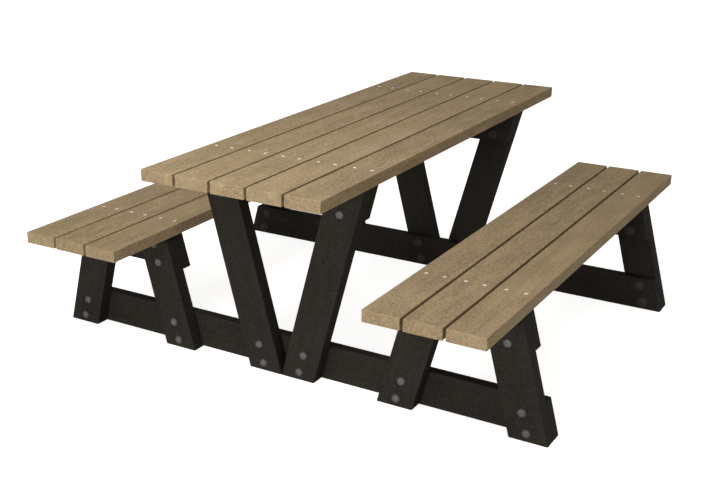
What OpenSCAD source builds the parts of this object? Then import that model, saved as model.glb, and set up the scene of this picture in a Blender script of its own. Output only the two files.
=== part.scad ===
// Walk-through picnic table in recycled plastic lumber. A plank table top and
// two plank seats are screwed to cleats, and the cleats and a base rail are
// bolted to leaning legs, which makes two end frames.
// X runs across the table from seat to seat, Y along the planks, Z up.
// The origin is on the ground, at the centre of the footprint.

/* [Overall] */
// Height of the table top above the ground
table_h = 755; // [690:1:910]
// Height of the seats above the ground
seat_h = 450; // [370:1:545]
// Length of every plank
plank_l = 1875; // [1500:1:2500]
// Gap, seen from above, between the table top and each seat
seat_gap = 138; // [110:1:220]
// Length of plank that runs past the outer face of an end frame
overhang = 283; // [150:1:400]

/* [Planks] */
// Number of planks in the table top
table_planks = 5; // [4:1:7]
// Number of planks in each seat
seat_planks = 3; // [3:1:4]
// Width of a plank
plank_w = 125; // [100:1:150]
// Thickness of a plank
plank_t = 40; // [30:1:50]
// Gap between neighbouring planks
plank_gap = 10; // [4:1:16]
// Radius along a plank's long edges
plank_r = 2; // [1:0.5:8]

/* [End frames] */
// Width of a leg, measured square to its length
leg_w = 125; // [100:1:150]
// Thickness of a leg
leg_t = 52; // [40:1:65]
// Height of the base rail and of every cleat
rail_h = 125; // [95:1:150]
// Thickness of the base rail and of every cleat
rail_t = 40; // [32:1:55]
// Radius along the long edges of legs, rails and cleats
board_r = 3; // [1:0.5:10]
// Lean of the seat legs from upright, in degrees
seat_lean = 15; // [8:0.5:20]
// Gap on the ground between the two table legs of a frame
foot_gap = 1; // [0.5:0.5:40]
// Distance from the planks' outer edge to the legs' outer corner
edge_setback = 11.5; // [5:0.5:25]

/* [Carriage bolts] */
// Diameter of a bolt's shank, and width of its square neck
bolt_d = 12; // [8:1:16]
// Diameter of the domed head
bolt_head_d = 32; // [22:1:40]
// Height of the domed head
bolt_head_h = 6; // [4:0.5:8]
// Length of the square neck under the head
neck_l = 8; // [5:0.5:12]
// Height of the lower bolt above the lower edge of its rail or cleat
bolt_low = 28; // [22:1:40]
// Depth of the upper bolt below the upper edge of its rail or cleat
bolt_high = 31; // [25:1:40]
// Gap all round a bolt's shank in its hole
bolt_clear = 0.5; // [0.3:0.1:1.5]
// Gap all round the square neck in its seat
neck_clear = 0.2; // [0.1:0.05:0.25]
// Outer diameter of the washer under a nut
washer_d = 30; // [24:1:34]
// Thickness of the washer
washer_t = 2.5; // [1.5:0.5:4]
// Width of the hexagonal nut across its flats
nut_af = 19; // [16:1:24]
// Height of the nut
nut_h = 10; // [6:0.5:12]
// Gap all round the bolt's thread in its nut
thread_clear = 0.1; // [0.05:0.05:0.3]
// Depth of the round recess that takes the washer and nut
recess_l = 9; // [5:0.5:11]
// Gap all round the washer in its recess
recess_clear = 0.5; // [0.2:0.1:1]
// Length of bolt that shows past its nut
bolt_tail = 2; // [1:0.5:4]
// Wall of the plastic cap that closes a recess
cap_wall = 2; // [1.5:0.1:3]
// Width of the cap's brim round the recess
cap_brim = 5.5; // [2:0.5:7]
// Height of the cap's rim, where its domed roof starts
cap_rim = 3; // [2:0.5:4]
// Depth of the cap's plug in the recess
cap_plug = 4; // [2:0.5:5]
// Gap all round the plug in the recess
plug_clear = 0.2; // [0.1:0.05:0.4]
// Gap between the cap's roof and the end of the bolt
cap_air = 1; // [0.5:0.5:4]

/* [Plank screws] */
// Diameter of a screw's shank
screw_d = 5; // [4:0.5:7]
// Diameter of the countersunk head
screw_head_d = 13; // [9:0.5:15]
// Depth of the screw in its cleat
screw_bite = 20; // [12:1:22]
// Distance from a plank's edge to its screws
screw_inset = 31; // [20:1:40]
// Distance of the screws from their cleat's middle, towards the table's centre
screw_shift = 6; // [0:0.5:6]
// Depth of the heads below the planks' surface
screw_sink = 0.4; // [0.2:0.1:1.5]
// Gap all round a screw in its plank
screw_clear = 0.3; // [0.1:0.1:0.8]

/* [Hidden] */
$fn = 48;
ENDS = [["front", -1], ["rear", 1]];
SIDES = [["left", -1], ["right", 1]];
SEAT_LEGS = [["outer", 1], ["inner", -1]];

table_w = row_w(table_planks);
seat_w = row_w(seat_planks);
seat_x = table_w / 2 + seat_gap + seat_w / 2;
table_leg_h = table_h - plank_t;
seat_leg_h = seat_h - plank_t;
table_cleat_z = table_leg_h - rail_h;
seat_cleat_z = seat_leg_h - rail_h;

// Outer face of the legs, and the joint between legs and rails, from the centre
frame_y = plank_l / 2 - overhang;
rail_y = frame_y - leg_t;

// The table legs lean so that they run from the outer planks to the foot gap
table_half = table_w / 2 - edge_setback;
table_reach = table_half - foot_gap / 2;
table_lean = acos(leg_w / norm([table_reach, table_leg_h])) - atan2(table_leg_h, table_reach);

// Along a bolt: the inner face of the boards, the floor of the recess, the end
boards_t = leg_t + rail_t;
grip = boards_t - recess_l;
bolt_end = grip + washer_t + nut_h + bolt_tail;

recess_d = washer_d + 2 * recess_clear;
plug_d = recess_d - 2 * plug_clear;
cap_d = recess_d + 2 * cap_brim;
cap_h = bolt_end - boards_t + cap_air + cap_wall;
pilot_clear = 0.05;
hex_key = 4;
hex_depth = 2;
overcut = 1;

steel = "silver";
tan_lumber = [0.62, 0.54, 0.41];
black_lumber = [0.17, 0.15, 0.14];
black_plastic = [0.12, 0.11, 0.11];

// Width of a row of planks with their gaps
function row_w(count) = count * plank_w + (count - 1) * plank_gap;

// Middle of plank i of a row that is centred on x = 0
function plank_x(i, count) = (i - (count + 1) / 2) * (plank_w + plank_gap);

// Places of a row's screws along X, from the row's middle
function screw_xs(count) =
    [for (i = [1:count], s = [-1, 1]) plank_x(i, count) + s * (plank_w / 2 - screw_inset)];

// Outer edge of a table leg at height z, from the table's middle
function table_edge(z) = table_half - (table_leg_h - z) * tan(table_lean);

// Outer edge of a seat leg at height z, from the seat's middle
function seat_edge(z) = seat_w / 2 - edge_setback + (seat_leg_h - z) * tan(seat_lean);

// Middle of a table leg and of a seat leg at height z
function table_leg_x(z) = table_edge(z) - leg_w / 2 / cos(table_lean);
function seat_leg_x(z) = seat_edge(z) - leg_w / 2 / cos(seat_lean);

// Heights of the two bolts in a rail or cleat whose lower edge is at z
function bolt_zs(z) = [z + bolt_low, z + rail_h - bolt_high];

// Bolts of one table leg, and of one seat leg, as [x, z]
function table_leg_bolts(side) =
    [for (z = concat(bolt_zs(0), bolt_zs(table_cleat_z))) [side * table_leg_x(z), z]];
function seat_leg_bolts(side, leg) =
    [for (z = concat(bolt_zs(0), bolt_zs(seat_cleat_z)))
        [side * (seat_x + leg * seat_leg_x(z)), z]];

// Every bolt of one end frame
function frame_bolts() = concat(
    [for (s = SIDES) each table_leg_bolts(s[1])],
    [for (s = SIDES, l = SEAT_LEGS) each seat_leg_bolts(s[1], l[1])]
);

// Everything in a frame is drawn for the front end, and mirrored for the rear
module at_end(end) {
    if (end < 0) children();
    else mirror([0, 1, 0]) children();
}

// Puts a bolt's axis along +Y, starting on the legs' outer face
module at_bolt(place) {
    translate([place[0], -frame_y, place[1]]) rotate([-90, 0, 0]) children();
}

// Puts a screw's head at the top of a row of planks
module at_screws(x, top, count) {
    for (dx = screw_xs(count), end = [-1, 1])
        translate([x + dx, end * (rail_y - rail_t / 2 - screw_shift), top]) children();
}

// A length of board standing on end, with rounded long edges
module board(length, width, thickness, radius) {
    linear_extrude(length) {
        square([width - 2 * radius, thickness], center = true);
        square([width, thickness - 2 * radius], center = true);
        for (x = [-1, 1], y = [-1, 1])
            translate([x * (width / 2 - radius), y * (thickness / 2 - radius)]) circle(radius);
    }
}

// The hole that a bolt needs, with a square seat for its neck and a round
// recess for its washer and nut
module bolt_hole() {
    seat_w = bolt_d + 2 * neck_clear;
    seat_l = neck_l + neck_clear;
    translate([0, 0, -overcut])
        cylinder(d = bolt_d + 2 * bolt_clear, h = boards_t + 2 * overcut);
    translate([-seat_w / 2, -seat_w / 2, -overcut]) cube([seat_w, seat_w, seat_l + overcut]);
    translate([0, 0, grip]) cylinder(d = recess_d, h = recess_l + overcut);
}

// The hole that a screw needs, from the planks' surface down into the cleat
module screw_hole() {
    cone_h = (screw_head_d - screw_d) / 2;
    head_r = screw_head_d / 2 + screw_clear;
    shank_r = screw_d / 2 + screw_clear;
    translate([0, 0, -screw_sink - screw_clear]) cylinder(r = head_r, h = screw_sink + 1);
    translate([0, 0, -screw_sink - screw_clear - cone_h])
        cylinder(r1 = shank_r, r2 = head_r, h = cone_h);
    translate([0, 0, -plank_t - overcut]) cylinder(r = shank_r, h = plank_t);
    translate([0, 0, -plank_t - screw_bite - overcut])
        cylinder(r = screw_d / 2 + pilot_clear, h = screw_bite + overcut);
}

// A plank along Y, centred on x, with its screw holes
module plank(x, top) {
    color(tan_lumber) difference() {
        translate([x, plank_l / 2, top - plank_t / 2]) rotate([90, 0, 0])
            board(plank_l, plank_w, plank_t, plank_r);
        at_screws(x, top, 1) screw_hole();
    }
}

module table_plank(i) { plank(plank_x(i, table_planks), table_h); }

module seat_plank(side, i) { plank(side * seat_x + plank_x(i, seat_planks), seat_h); }

// A board on edge along X behind the legs, whose ends follow the outer legs
module cross_board(x, z, half_bottom, half_top) {
    longest = 2 * max(half_bottom, half_top);
    intersection() {
        translate([x - longest / 2, -rail_y + rail_t / 2, z + rail_h / 2]) rotate([0, 90, 0])
            board(longest, rail_h, rail_t, board_r);
        translate([x, -rail_y + rail_t, z]) rotate([90, 0, 0]) linear_extrude(rail_t)
            polygon([[-half_bottom, 0], [half_bottom, 0], [half_top, rail_h], [-half_top, rail_h]]);
    }
}

module base_rail(end) {
    color(black_lumber) at_end(end) difference() {
        cross_board(0, 0, seat_x + seat_edge(0), seat_x + seat_edge(rail_h));
        for (place = frame_bolts()) if (place[1] < rail_h) at_bolt(place) bolt_hole();
    }
}

module table_cleat(end) {
    color(black_lumber) at_end(end) difference() {
        cross_board(0, table_cleat_z, table_edge(table_cleat_z), table_edge(table_leg_h));
        for (s = SIDES, place = table_leg_bolts(s[1])) if (place[1] > rail_h)
            at_bolt(place) bolt_hole();
        at_screws(0, table_h, table_planks) screw_hole();
    }
}

module seat_cleat(end, side) {
    x = side * seat_x;
    color(black_lumber) at_end(end) difference() {
        cross_board(x, seat_cleat_z, seat_edge(seat_cleat_z), seat_edge(seat_leg_h));
        for (l = SEAT_LEGS, place = seat_leg_bolts(side, l[1])) if (place[1] > rail_h)
            at_bolt(place) bolt_hole();
        at_screws(x, seat_h, seat_planks) screw_hole();
    }
}

// A leg whose middle stands at x on the ground, leaning towards +X by lean
module leg(x, lean, height, bolts) {
    color(black_lumber) difference() {
        intersection() {
            translate([x, -frame_y + leg_t / 2, 0]) rotate([0, lean, 0])
                translate([0, 0, -leg_w]) board(height + 3 * leg_w, leg_w, leg_t, board_r);
            translate([x - height, -frame_y - overcut, 0])
                cube([2 * height, leg_t + 2 * overcut, height]);
        }
        for (place = bolts) at_bolt(place) bolt_hole();
    }
}

module table_leg(end, side) {
    at_end(end) leg(side * table_leg_x(0), side * table_lean, table_leg_h, table_leg_bolts(side));
}

module seat_leg(end, side, leg) {
    at_end(end) leg(side * (seat_x + leg * seat_leg_x(0)), -side * leg * seat_lean,
                    seat_leg_h, seat_leg_bolts(side, leg));
}

// A carriage bolt: domed head outside the leg, square neck, shank to the tail
module bolt() {
    dome_r = (pow(bolt_head_d / 2, 2) + pow(bolt_head_h, 2)) / (2 * bolt_head_h);
    intersection() {
        translate([0, 0, dome_r - bolt_head_h]) sphere(dome_r);
        translate([0, 0, -bolt_head_h - overcut])
            cylinder(d = bolt_head_d + 2, h = bolt_head_h + overcut);
    }
    translate([-bolt_d / 2, -bolt_d / 2, 0]) cube([bolt_d, bolt_d, neck_l]);
    cylinder(d = bolt_d, h = bolt_end);
}

module washer() {
    translate([0, 0, grip]) difference() {
        cylinder(d = washer_d, h = washer_t);
        translate([0, 0, -overcut])
            cylinder(d = bolt_d + 2 * bolt_clear, h = washer_t + 2 * overcut);
    }
}

module nut() {
    translate([0, 0, grip + washer_t]) difference() {
        cylinder(d = nut_af / cos(30), h = nut_h, $fn = 6);
        translate([0, 0, -overcut])
            cylinder(d = bolt_d + 2 * thread_clear, h = nut_h + 2 * overcut);
    }
}

// A round cap: a domed roof over the nut, and a hollow plug in its recess
module nut_cap() {
    rise = cap_h - cap_rim;
    roof_r = (pow(cap_d / 2, 2) + pow(rise, 2)) / (2 * rise);
    translate([0, 0, boards_t]) difference() {
        union() {
            intersection() {
                cylinder(d = cap_d, h = cap_h);
                translate([0, 0, cap_h - roof_r]) sphere(roof_r);
            }
            translate([0, 0, -cap_plug]) cylinder(d = plug_d, h = cap_plug + overcut);
        }
        intersection() {
            translate([0, 0, -cap_plug - overcut])
                cylinder(d = plug_d - 2 * cap_wall, h = cap_plug + cap_h);
            translate([0, 0, cap_h - roof_r]) sphere(roof_r - cap_wall);
        }
    }
}

// A countersunk screw with a hexagonal socket, from its head down
module screw() {
    cone_h = (screw_head_d - screw_d) / 2;
    length = plank_t + screw_bite - screw_sink;
    translate([0, 0, -screw_sink]) difference() {
        union() {
            translate([0, 0, -cone_h]) cylinder(d1 = screw_d, d2 = screw_head_d, h = cone_h);
            translate([0, 0, screw_d - length]) cylinder(d = screw_d, h = length - screw_d - cone_h);
            translate([0, 0, -length]) cylinder(d1 = screw_d / 5, d2 = screw_d, h = screw_d);
        }
        translate([0, 0, -hex_depth])
            cylinder(d = hex_key / cos(30), h = hex_depth + overcut, $fn = 6);
    }
}

module bolts(end) {
    color(steel) at_end(end) for (place = frame_bolts()) at_bolt(place) bolt();
}

module washers(end) {
    color(steel) at_end(end) for (place = frame_bolts()) at_bolt(place) washer();
}

module nuts(end) {
    color(steel) at_end(end) for (place = frame_bolts()) at_bolt(place) nut();
}

module nut_caps(end) {
    color(black_plastic) at_end(end) for (place = frame_bolts()) at_bolt(place) nut_cap();
}

module table_screws() { color(steel) at_screws(0, table_h, table_planks) screw(); }

module seat_screws(side) { color(steel) at_screws(side * seat_x, seat_h, seat_planks) screw(); }

for (i = [1:table_planks])
    table_plank(i);
for (s = SIDES, i = [1:seat_planks])
    seat_plank(s[1], i);
for (e = ENDS) {
    base_rail(e[1]);
    table_cleat(e[1]);
    bolts(e[1]);
    washers(e[1]);
    nuts(e[1]);
    nut_caps(e[1]);
}
for (e = ENDS, s = SIDES) {
    seat_cleat(e[1], s[1]);
    table_leg(e[1], s[1]);
}
for (e = ENDS, s = SIDES, l = SEAT_LEGS)
    seat_leg(e[1], s[1], l[1]);
table_screws();
seat_screws(-1);  // left_seat_screws
seat_screws(1);  // right_seat_screws
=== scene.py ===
"""A picnic table with two benches: tan lumber planks on black lumber end frames."""

import logging
import math
from collections.abc import Iterable, Mapping, Sequence
from dataclasses import dataclass, field, replace
from enum import Enum
from typing import Any

import bmesh
import bpy
from mathutils import Euler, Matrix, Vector


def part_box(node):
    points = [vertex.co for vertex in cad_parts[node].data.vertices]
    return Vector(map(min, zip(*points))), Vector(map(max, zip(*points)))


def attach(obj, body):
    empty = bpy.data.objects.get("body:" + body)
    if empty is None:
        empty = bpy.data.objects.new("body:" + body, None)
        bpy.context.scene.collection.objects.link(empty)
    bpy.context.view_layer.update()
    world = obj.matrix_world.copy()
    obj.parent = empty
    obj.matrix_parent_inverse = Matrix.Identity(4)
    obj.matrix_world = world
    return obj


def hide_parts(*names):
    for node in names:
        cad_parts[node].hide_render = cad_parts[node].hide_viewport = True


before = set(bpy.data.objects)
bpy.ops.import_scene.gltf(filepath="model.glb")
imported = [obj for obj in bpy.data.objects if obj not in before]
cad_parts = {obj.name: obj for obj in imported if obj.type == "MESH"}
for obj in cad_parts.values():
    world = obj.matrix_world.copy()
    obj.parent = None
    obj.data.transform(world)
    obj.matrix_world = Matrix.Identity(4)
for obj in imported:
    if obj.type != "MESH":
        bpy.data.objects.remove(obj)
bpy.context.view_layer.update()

LOG = logging.getLogger("picnic_table")
MM = 0.001

# Mesh work: merging distances, the largest face that is shaded smooth (in square metres),
# the longest part of a board between two cuts, and the edge angles that stay smooth
MERGE = 2e-6
CAD_MERGE = 1e-6
FLAT_AREA = 3e-4
SLICE = 0.055
BOARD_SMOOTH, SCREW_SMOOTH, BOLT_SMOOTH = 32.0, 35.0, 40.0

# Attributes that a piece carries for its finish
PLACE = "board_place"
HALF = "board_half"
TONE = "board_tone"
RIM = "rim_share"

# Steps round a fastener, and from the top of a dome to its rim
SIDES = 24
DOME_STEPS = 7

ALONG_X, ALONG_Y, ALONG_Z = (Vector(row) for row in ((1, 0, 0), (0, 1, 0), (0, 0, 1)))

Socket = bpy.types.NodeSocket
Term = Socket | float
Colour = tuple[float, float, float, float]
Triple = tuple[float, float, float]
Band = tuple[float, float]


class Axis(Enum):
    """The way a fastener's head looks, as a turn from straight up."""

    FRONT = (math.radians(90), 0.0, 0.0)
    REAR = (math.radians(-90), 0.0, 0.0)
    UP = (0.0, 0.0, 0.0)


class Slot(Enum):
    """The material slots of the part."""

    TAN = "tan_lumber"
    BLACK = "black_lumber"
    GALVANISED = "galvanised_steel"
    SCREW = "screw_steel"
    CAP = "cap_plastic"


@dataclass(frozen=True)
class Cloud:
    """A noise: its scale, its detail and its roughness."""

    scale: Term
    detail: float
    roughness: float


class Graph:
    """A node tree, with short calls to add nodes and join them."""

    def __init__(self, tree: bpy.types.NodeTree) -> None:
        """Keeps the tree."""
        self.tree = tree

    def node(
        self, kind: str, inputs: Mapping[str, Any] | None = None, **settings: Any
    ) -> bpy.types.Node:
        """Adds a node.

        Args:
            kind: The node's type name.
            inputs: Values or sockets for its inputs, by the input's name.
            settings: The node's own properties, which are set first.

        Returns:
            The new node.
        """
        made = self.tree.nodes.new(kind)
        for name, value in settings.items():
            setattr(made, name, value)
        for name, value in (inputs or {}).items():
            usable = (s for s in made.inputs if s.name == name and not s.is_unavailable)
            self.feed(next(usable), value)
        return made

    def feed(self, socket: Socket, value: Any) -> None:
        """Joins a value to a socket if it is a socket itself, and sets it otherwise.

        Args:
            socket: The input that takes the value.
            value: Another node's output, or a plain value.
        """
        if isinstance(value, bpy.types.NodeSocket):
            self.tree.links.new(value, socket)
        else:
            socket.default_value = value

    def fill(self, sockets: Iterable[Socket], values: Iterable[Any]) -> None:
        """Feeds values to sockets, in order."""
        for socket, value in zip(sockets, values):
            self.feed(socket, value)

    def first(self, kind: str, inputs: Mapping[str, Any] | None = None, **settings: Any) -> Socket:
        """Adds a node and returns its first output in use."""
        made = self.node(kind, inputs, **settings)
        return next(s for s in made.outputs if not s.is_unavailable)

    def calc(self, operation: str, *terms: Term, clamp: bool = False) -> Socket:
        """Adds a Math node.

        Args:
            operation: The node's operation.
            terms: Numbers or sockets, in order.
            clamp: Whether the result is kept from 0 to 1.

        Returns:
            The result's socket.
        """
        made = self.node("ShaderNodeMath", operation=operation, use_clamp=clamp)
        self.fill(made.inputs, terms)
        return made.outputs[0]

    def vector(self, operation: str, *terms: Any) -> Socket:
        """Adds a Vector Math node.

        Args:
            operation: The node's operation.
            terms: Vectors or sockets, in order.

        Returns:
            The result's socket.
        """
        made = self.node("ShaderNodeVectorMath", operation=operation)
        self.fill(made.inputs, terms)
        return made.outputs["Vector"]

    def scaled(self, vector: Any, factor: Term) -> Socket:
        """Adds a Vector Math node that scales a vector."""
        inputs = {"Vector": vector, "Scale": factor}
        return self.first("ShaderNodeVectorMath", inputs, operation="SCALE")

    def parts(self, vector: Socket) -> Any:
        """Splits a vector and returns its three outputs."""
        return self.node("ShaderNodeSeparateXYZ", {"Vector": vector}).outputs

    def joined(self, **values: Term) -> Socket:
        """Joins X, Y and Z into a vector."""
        return self.first("ShaderNodeCombineXYZ", values)

    def ramp(self, value: Term, band: Band) -> Socket:
        """Adds a smooth Map Range.

        Args:
            value: What is mapped.
            band: The values that become 0 and 1.

        Returns:
            The result's socket.
        """
        inputs = {"Value": value, "From Min": band[0], "From Max": band[1]}
        made = self.node("ShaderNodeMapRange", inputs, interpolation_type="SMOOTHSTEP")
        return made.outputs["Result"]

    def around(self, value: Socket, middle: float, spread: float) -> Socket:
        """Spreads a value from 0 to 1 about a middle."""
        return self.calc("MULTIPLY_ADD", value, spread, middle - spread / 2)

    def noise(self, vector: Socket, cloud: Cloud) -> Socket:
        """Adds a Noise Texture and returns its value."""
        look = {"Scale": cloud.scale, "Detail": cloud.detail, "Roughness": cloud.roughness}
        return self.first("ShaderNodeTexNoise", {"Vector": vector} | look)

    def mix(self, factor: Term, low: Any, high: Any) -> Socket:
        """Adds a colour Mix.

        Args:
            factor: The share of the second colour.
            low: The first colour.
            high: The second colour.

        Returns:
            The result's socket.
        """
        made = self.node("ShaderNodeMix", data_type="RGBA")
        self.feed(made.inputs[0], factor)
        self.fill((s for s in made.inputs if s.type == "RGBA"), (low, high))
        return next(s for s in made.outputs if s.type == "RGBA")

    def blend(self, shares: Iterable[tuple[Socket, float]]) -> Socket:
        """Adds up values about their middle.

        Args:
            shares: Each value, from 0 to 1, with its weight.

        Returns:
            The sum's socket, which lies about 0.
        """
        total: Term = 0.0
        for value, weight in shares:
            total = self.calc("MULTIPLY_ADD", self.calc("SUBTRACT", value, 0.5), weight, total)
        return total

    def pick(self, index: Socket, items: Sequence[Term]) -> Socket:
        """Adds an Index Switch over numbers.

        Args:
            index: The field that chooses.
            items: One number or socket for each index.

        Returns:
            The chosen number's socket.
        """
        made = self.node("GeometryNodeIndexSwitch", data_type="FLOAT")
        while len(made.index_switch_items) < len(items):
            made.index_switch_items.new()
        self.fill(made.inputs, (index, *items))
        return made.outputs[0]

    def attribute(self, name: str, output: str) -> Socket:
        """Reads a piece's attribute in a material."""
        return self.node("ShaderNodeAttribute", attribute_name=name).outputs[output]

    def object_place(self) -> Socket:
        """The object coordinates of a material."""
        return self.node("ShaderNodeTexCoord").outputs["Object"]

    def group(self, tree: bpy.types.NodeTree, inputs: Mapping[str, Any]) -> Any:
        """Places a shared group and returns its outputs."""
        return self.node("ShaderNodeGroup", inputs, node_tree=tree).outputs

    def bump(self, height: Socket, distance: float, strength: float) -> Socket:
        """Adds a Bump node and returns its normal."""
        return self.first(
            "ShaderNodeBump", {"Height": height, "Distance": distance, "Strength": strength}
        )

    def store(self, geometry: Socket, name: str, value: Socket, kind: str = "FLOAT") -> Socket:
        """Stores a value on each point of a geometry under a name."""
        inputs = {"Geometry": geometry, "Name": name, "Value": value}
        return self.first("GeometryNodeStoreNamedAttribute", inputs, data_type=kind)

    def give_out(self, out: Any, geometry: Socket, finish: Socket) -> None:
        """Ends a geometry tree: realises the geometry and sets its material.

        Args:
            out: The group output's sockets.
            geometry: What the tree has made.
            finish: The material's socket.
        """
        real = self.first("GeometryNodeRealizeInstances", {"Geometry": geometry})
        dressed = self.first("GeometryNodeSetMaterial", {"Geometry": real, "Material": finish})
        self.feed(out["Geometry"], dressed)


def new_tree(
    name: str, kind: str, inputs: Mapping[str, Any], outputs: Mapping[str, str]
) -> tuple[Graph, Any, Any]:
    """Makes a node group with named inputs and outputs.

    Args:
        name: The group's name.
        kind: ShaderNodeTree or GeometryNodeTree.
        inputs: For each input, its socket type, or its type and value.
        outputs: For each output, its socket type.

    Returns:
        The graph, the group input's sockets and the group output's sockets.
    """
    tree = bpy.data.node_groups.new(name, kind)
    for label, spec in inputs.items():
        socket_type, value = spec if isinstance(spec, tuple) else (spec, None)
        made = tree.interface.new_socket(label, in_out="INPUT", socket_type=socket_type)
        if value is not None:
            made.default_value = value
    for label, socket_type in outputs.items():
        tree.interface.new_socket(label, in_out="OUTPUT", socket_type=socket_type)
    graph = Graph(tree)
    return graph, graph.node("NodeGroupInput").outputs, graph.node("NodeGroupOutput").inputs


def node_graph(owner: bpy.types.Material | bpy.types.World) -> Graph:
    """Turns on the nodes of a material or world.

    Args:
        owner: The material or world.

    Returns:
        Its graph, which is empty.
    """
    owner.use_nodes = True
    owner.node_tree.nodes.clear()
    return Graph(owner.node_tree)


# ---------------------------------------------------------------- shared effects


class SharedEffects:
    """The shader node groups that several finishes use."""

    BOARD_SHIFT: Triple = (17.0, 9.0, 5.0)
    STREAK_STRETCH: Triple = (1.0, 0.06, 1.0)
    STREAKS = Cloud(58.0, 3.0, 0.6)
    WARP_STRETCH: Triple = (0.3, 0.12, 0.3)
    WARP = Cloud(14.0, 2.0, 0.5)
    LINES_ACROSS, LINES_DEEP, LINE_WARP = 260.0, 90.0, 22.0
    BLOTCH_STRETCH: Triple = (1.0, 0.3, 1.0)
    BLOTCHES = Cloud(17.0, 3.0, 0.55)
    SPECK_STRETCH: Triple = (1.0, 0.55, 1.0)
    SPECKS = Cloud(210.0, 3.0, 0.6)
    LINE_HEIGHT = 0.12
    WEAR_AND_HIGHLIGHT_PATCHES = Cloud(34.0, 3.0, 0.6)
    WEAR_AND_HIGHLIGHT_BAND: Band = (0.35, 0.65)
    DUST_EDGE = Cloud(9.0, 4.0, 0.6)
    DUST_SPREAD = 1.2
    ZINC_CLOUD = Cloud(120.0, 3.0, 0.6)
    CELL_SHARE = 0.45
    SCRATCH_STRETCH: Triple = (1.0, 1.0, 0.08)
    SCRATCHES = Cloud(900.0, 2.0, 0.5)

    def __init__(self) -> None:
        """Builds each group once."""
        self.grain = self._grain()
        self.wear_and_highlight = self._wear_and_highlight()
        self.dust = self._dust()
        self.spangle = self._spangle()

    def _grain(self) -> bpy.types.NodeTree:
        """Moulded lumber: long streaks, soft blotches and fine specks that follow the board."""
        names = ("Streaks", "Lines", "Blotches", "Specks", "Height")
        g, inp, out = new_tree(
            "Lumber grain",
            "ShaderNodeTree",
            {
                "Place": "NodeSocketVector",
                "Board": "NodeSocketFloat",
                "Speck scale": ("NodeSocketFloat", self.SPECKS.scale),
            },
            {name: "NodeSocketFloat" for name in names},
        )
        place = g.vector("ADD", inp["Place"], g.scaled(self.BOARD_SHIFT, inp["Board"]))
        streaks = g.noise(g.vector("MULTIPLY", place, self.STREAK_STRETCH), self.STREAKS)
        warp = g.noise(g.vector("MULTIPLY", place, self.WARP_STRETCH), self.WARP)
        side = g.parts(place)
        deep = g.calc("MULTIPLY", side[2], self.LINES_DEEP)
        rings = g.calc("MULTIPLY_ADD", side[0], self.LINES_ACROSS, deep)
        lines = g.calc("SINE", g.calc("MULTIPLY_ADD", warp, self.LINE_WARP, rings))
        lines = g.calc("MULTIPLY_ADD", lines, 0.5, 0.5)
        blotches = g.noise(g.vector("MULTIPLY", place, self.BLOTCH_STRETCH), self.BLOTCHES)
        drawn = g.vector("MULTIPLY", place, self.SPECK_STRETCH)
        fine = g.noise(drawn, replace(self.SPECKS, scale=inp["Speck scale"]))
        height = g.calc("MULTIPLY_ADD", streaks, 0.5, g.calc("MULTIPLY", fine, 0.5))
        height = g.calc("MULTIPLY_ADD", lines, self.LINE_HEIGHT, height)
        g.fill((out[name] for name in names), (streaks, lines, blotches, fine, height))
        return g.tree

    def _wear_and_highlight(self) -> bpy.types.NodeTree:
        """A mask along a board's edges, broken up by noise, for real wear and a painted highlight
        on the rounded edges.
        """
        g, inp, out = new_tree(
            "Edge wear",
            "ShaderNodeTree",
            {
                "Place": "NodeSocketVector",
                "Half size": "NodeSocketVector",
                "Reach": ("NodeSocketFloat", 0.006),
                "Patchiness": ("NodeSocketFloat", 0.5),
            },
            {"Wear and highlight": "NodeSocketFloat"},
        )
        gap = g.vector("SUBTRACT", inp["Half size"], g.vector("ABSOLUTE", inp["Place"]))
        side = g.parts(gap)
        pairs = [g.calc("MAXIMUM", side[a], side[b]) for a, b in ((0, 2), (0, 1), (1, 2))]
        nearest = g.calc("MINIMUM", g.calc("MINIMUM", pairs[0], pairs[1]), pairs[2])
        mask = g.calc("SUBTRACT", 1.0, g.calc("DIVIDE", nearest, inp["Reach"]), clamp=True)
        patch = g.calc("SUBTRACT", g.noise(inp["Place"], self.WEAR_AND_HIGHLIGHT_PATCHES), 0.5)
        patch = g.calc("MULTIPLY_ADD", patch, inp["Patchiness"], 0.5)
        g.feed(out["Wear and highlight"], g.calc("MULTIPLY", mask, g.ramp(patch, self.WEAR_AND_HIGHLIGHT_BAND)))
        return g.tree

    def _dust(self) -> bpy.types.NodeTree:
        """A mask that fades upwards from the ground."""
        g, inp, out = new_tree(
            "Yard dust",
            "ShaderNodeTree",
            {"Place": "NodeSocketVector", "Reach": ("NodeSocketFloat", 0.06)},
            {"Dust": "NodeSocketFloat"},
        )
        height = g.parts(inp["Place"])[2]
        ragged = g.around(g.noise(inp["Place"], self.DUST_EDGE), 1.0, self.DUST_SPREAD)
        share = g.calc("DIVIDE", height, g.calc("MULTIPLY", inp["Reach"], ragged))
        fade = g.calc("SUBTRACT", 1.0, share, clamp=True)
        g.feed(out["Dust"], g.calc("MULTIPLY", fade, fade))
        return g.tree

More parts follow.
